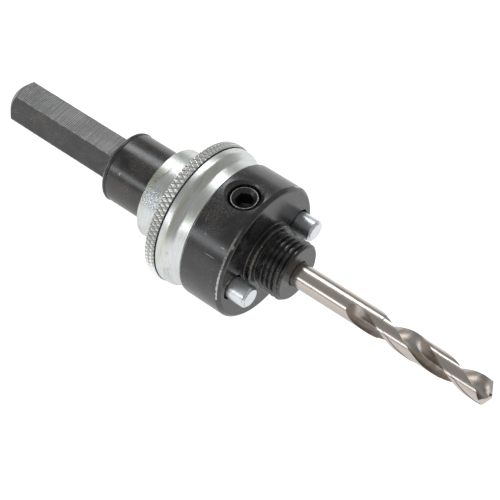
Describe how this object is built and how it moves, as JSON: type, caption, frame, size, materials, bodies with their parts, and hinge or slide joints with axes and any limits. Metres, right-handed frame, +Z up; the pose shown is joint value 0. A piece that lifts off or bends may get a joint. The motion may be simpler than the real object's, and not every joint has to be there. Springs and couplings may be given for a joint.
{
  "type": "hole saw arbor",
  "caption": "Hole saw arbor with hexagonal shank, knurled sliding sleeve carrying drive pins, threaded spigot, set screw and pilot drill.",
  "frame": {"origin": "on the table, under the middle of the whole arbor's box", "axes": "+Z up from the table; the arbor lies in the XZ plane, its drill's tip towards +X and raised 12.8 degrees"},
  "size_m": [0.1468, 0.0386, 0.0414],
  "materials": {
    "black_oxide_steel": "black oxide over turned and milled steel, satin, edges worn bright",
    "zinc_plated_steel": "bright zinc plate over a turning and a diamond knurl",
    "zinc_plated_pin": "bright zinc plate, slightly blue",
    "black_screw_steel": "black oxide, rim worn bright",
    "bright_drill_steel": "ground bright high-speed steel",
    "spring_steel": "oil-tempered spring wire",
    "hardened_ball_steel": "polished bearing steel"
  },
  "bodies": {
    "arbor": {"arbor_body": "black_oxide_steel", "stop_ring": "spring_steel", "detent_ball_left": "hardened_ball_steel", "detent_ball_right": "hardened_ball_steel", "detent_spring_left": "spring_steel", "detent_spring_right": "spring_steel"},
    "pin_sleeve": {"knurled_sleeve": "zinc_plated_steel", "drive_pin_left": "zinc_plated_pin", "drive_pin_right": "zinc_plated_pin"},
    "screw": {"set_screw": "black_screw_steel"},
    "drill": {"pilot_drill": "bright_drill_steel"}
  },
  "joints": [
    {"name": "sleeve_slide", "type": "slide", "parent": "arbor", "child": "pin_sleeve", "axis": [-0.9752, 0, -0.2215], "range_m": [0, 0.013]},
    {"name": "screw_travel", "type": "slide", "parent": "arbor", "child": "screw", "axis": [-0.2215, 0, 0.9752], "range_m": [0, 0.003]},
    {"name": "drill_slide", "type": "slide", "parent": "arbor", "child": "drill", "axis": [0.9752, 0, 0.2215], "range_m": [0, 0.008]}
  ]
}
